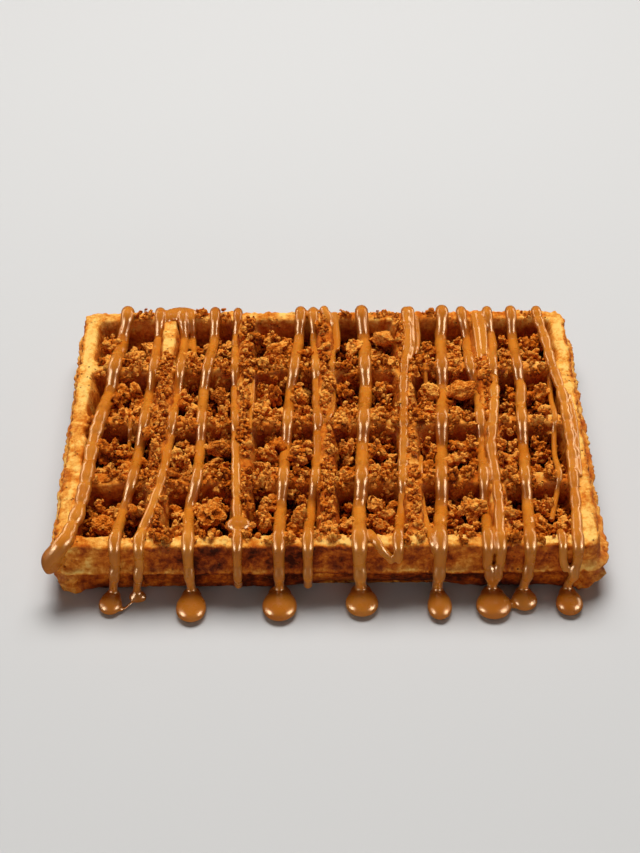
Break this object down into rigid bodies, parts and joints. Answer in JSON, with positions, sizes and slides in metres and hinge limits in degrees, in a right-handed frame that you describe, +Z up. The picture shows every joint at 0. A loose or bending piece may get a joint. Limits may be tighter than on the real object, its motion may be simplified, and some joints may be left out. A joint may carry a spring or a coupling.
{
  "type": "waffle",
  "caption": "Rectangular deep-grid waffle with biscuit crumbs and chunks in its wells and caramel sauce drizzled across and down its front.",
  "frame": {"origin": "middle of the underside, where the two middle ribs cross, on the surface that the waffle lies on", "axes": "+X along the long side to the right, +Y from the front, where the sauce runs down, to the rear, +Z up"},
  "size_m": [0.1809, 0.1355, 0.0245],
  "materials": {
    "crust": "matt golden-brown baked crust with pale rib tops",
    "biscuit": "matt broken caramelised biscuit",
    "sauce": "glossy caramel sauce"
  },
  "bodies": {
    "root": {"waffle": "crust", "biscuit_chunk_1": "biscuit", "biscuit_chunk_2": "biscuit", "biscuit_chunk_3": "biscuit", "biscuit_chunk_4": "biscuit", "biscuit_chunk_5": "biscuit", "biscuit_chunk_6": "biscuit", "biscuit_chunk_7": "biscuit"}
  },
  "joints": []
}
